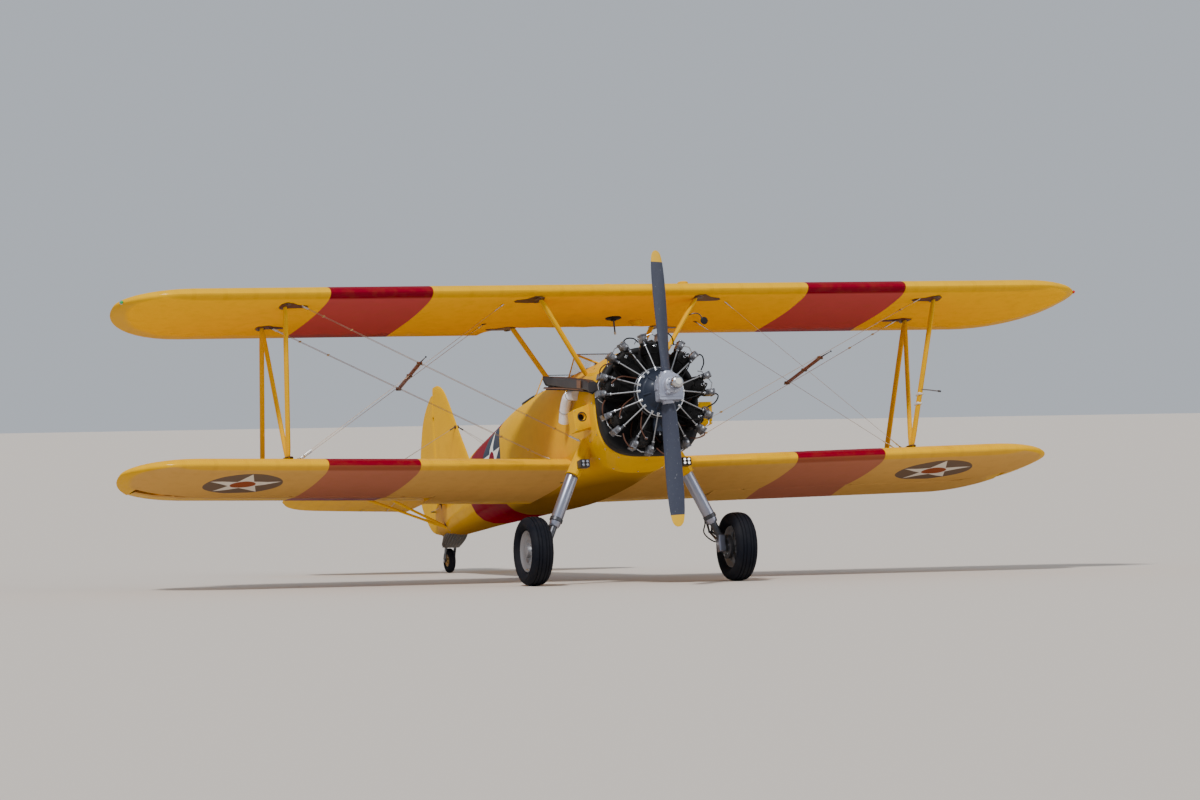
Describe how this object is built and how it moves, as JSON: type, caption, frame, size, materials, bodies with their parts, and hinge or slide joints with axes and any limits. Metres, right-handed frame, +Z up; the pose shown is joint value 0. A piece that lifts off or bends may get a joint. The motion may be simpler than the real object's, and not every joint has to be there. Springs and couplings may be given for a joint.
{
  "type": "biplane trainer aircraft",
  "caption": "Two-seat open-cockpit biplane on fixed tail-wheel gear, with an open radial engine, turning propeller and wheels, and working control surfaces.",
  "frame": {"origin": "on the ground, under the middle of the bounding box, with the machine parked on its three wheels", "axes": "+X to port along the span, +Y aft, +Z up"},
  "size_m": [9.803, 7.7066, 3.161],
  "materials": {
    "yellow_fabric": "glossy doped fabric, chrome yellow, with red bands and a star in a disc on the wings",
    "yellow_metal": "gloss yellow paint on sheet metal",
    "strut_yellow": "gloss yellow paint on streamlined tube",
    "panel_black": "matt black with round dials",
    "seat_canvas": "seat pan with a stitched pad",
    "windshield_glass": "clear flat panes in a painted frame",
    "stay_steel": "streamlined steel wires with a wooden tie rod",
    "engine_metal": "black finned cylinders, blue-grey nose case, polished pushrod tubes",
    "collector_black": "sooted dark steel",
    "duct_grey": "satin dark grey sheet",
    "pipe_silver": "bright steel tube, a little heat stained",
    "leg_silver": "silver painted leg over a bright oleo",
    "lamp": "black housing with bright square lenses",
    "tyre_black": "black rubber with ground dust",
    "rim_silver": "dusty silver disc",
    "fork_dark": "dark painted forging",
    "boot_canvas": "grey canvas boot",
    "hub_silver": "silver grey machined steel",
    "blade_grey": "satin blue-grey paint with yellow tips"
  },
  "bodies": {
    "airframe": {"nose_cowl": "yellow_metal", "fuselage_front": "yellow_fabric", "fuselage_rear": "yellow_fabric", "instrument_panel_front": "panel_black", "instrument_panel_rear": "panel_black", "seat_front": "seat_canvas", "seat_rear": "seat_canvas", "windshield_front": "windshield_glass", "windshield_rear": "windshield_glass", "upper_wing_center": "yellow_fabric", "upper_wing_left": "yellow_fabric", "upper_wing_right": "yellow_fabric", "lower_wing_left": "yellow_fabric", "lower_wing_right": "yellow_fabric", "interplane_struts_left": "strut_yellow", "interplane_struts_right": "strut_yellow", "cabane_strut_front_left": "strut_yellow", "cabane_strut_front_right": "strut_yellow", "cabane_strut_rear_left": "strut_yellow", "cabane_strut_rear_right": "strut_yellow", "stays_left": "stay_steel", "stays_right": "stay_steel", "fin": "yellow_fabric", "stabiliser_left": "yellow_fabric", "stabiliser_right": "yellow_fabric", "tail_struts_left": "strut_yellow", "tail_struts_right": "strut_yellow", "engine": "engine_metal", "exhaust_collector": "collector_black", "exhaust_duct": "duct_grey", "exhaust_pipe": "pipe_silver", "air_box_right": "yellow_metal", "air_box_left": "yellow_metal", "gear_fairing_left": "yellow_metal", "gear_fairing_right": "yellow_metal", "gear_leg_left": "leg_silver", "gear_leg_right": "leg_silver", "landing_light_left": "lamp", "landing_light_right": "lamp", "tail_wheel_boot": "boot_canvas"},
    "propeller": {"propeller_hub": "hub_silver", "propeller_blade_upper": "blade_grey", "propeller_blade_lower": "blade_grey"},
    "wheel_left": {"tyre_left": "tyre_black", "rim_left": "rim_silver"},
    "wheel_right": {"tyre_right": "tyre_black", "rim_right": "rim_silver"},
    "tail_fork": {"tail_fork": "fork_dark"},
    "tail_wheel": {"tail_tyre": "tyre_black", "tail_rim": "yellow_metal"},
    "rudder": {"rudder": "yellow_fabric"},
    "elevator": {"elevator": "yellow_fabric"},
    "aileron_left": {"aileron_left": "yellow_fabric"},
    "aileron_right": {"aileron_right": "yellow_fabric"}
  },
  "joints": [
    {"name": "propeller_spin", "type": "hinge", "parent": "airframe", "child": "propeller", "pos_m": [0, -3.521, 1.8587], "axis": [0, -0.9816, 0.1908], "continuous": true},
    {"name": "wheel_left_spin", "type": "hinge", "parent": "airframe", "child": "wheel_left", "pos_m": [1.034, -2.59671, 0.33], "axis": [1, 0, 0], "continuous": true},
    {"name": "wheel_right_spin", "type": "hinge", "parent": "airframe", "child": "wheel_right", "pos_m": [-1.034, -2.59671, 0.33], "axis": [1, 0, 0], "continuous": true},
    {"name": "tail_steer", "type": "hinge", "parent": "airframe", "child": "tail_fork", "pos_m": [0, 2.90751, 0.2], "axis": [0, 0, 1], "range_deg": [-30, 30]},
    {"name": "tail_wheel_spin", "type": "hinge", "parent": "tail_fork", "child": "tail_wheel", "pos_m": [0, 2.95251, 0.127], "axis": [1, 0, 0], "continuous": true},
    {"name": "rudder_turn", "type": "hinge", "parent": "airframe", "child": "rudder", "pos_m": [0, 3.24947, 1.05201], "axis": [0, 0.1908, 0.9816], "range_deg": [-30, 30]},
    {"name": "elevator_turn", "type": "hinge", "parent": "airframe", "child": "elevator", "pos_m": [0, 2.97627, 0.7995], "axis": [1, 0, 0], "range_deg": [-15, 33]},
    {"name": "aileron_left_turn", "type": "hinge", "parent": "airframe", "child": "aileron_left", "pos_m": [2.975, -0.87118, 0.92131], "axis": [0.9998, 0.0037, 0.0188], "range_deg": [-19, 29]},
    {"name": "aileron_right_turn", "type": "hinge", "parent": "airframe", "child": "aileron_right", "pos_m": [-2.975, -0.87118, 0.92131], "axis": [0.9998, -0.0037, -0.0188], "range_deg": [-29, 19]}
  ],
  "couplings": [
    {"joint": "aileron_right_turn", "follows": "aileron_left_turn", "ratio": -1},
    {"joint": "tail_steer", "follows": "rudder_turn", "ratio": 1}
  ]
}
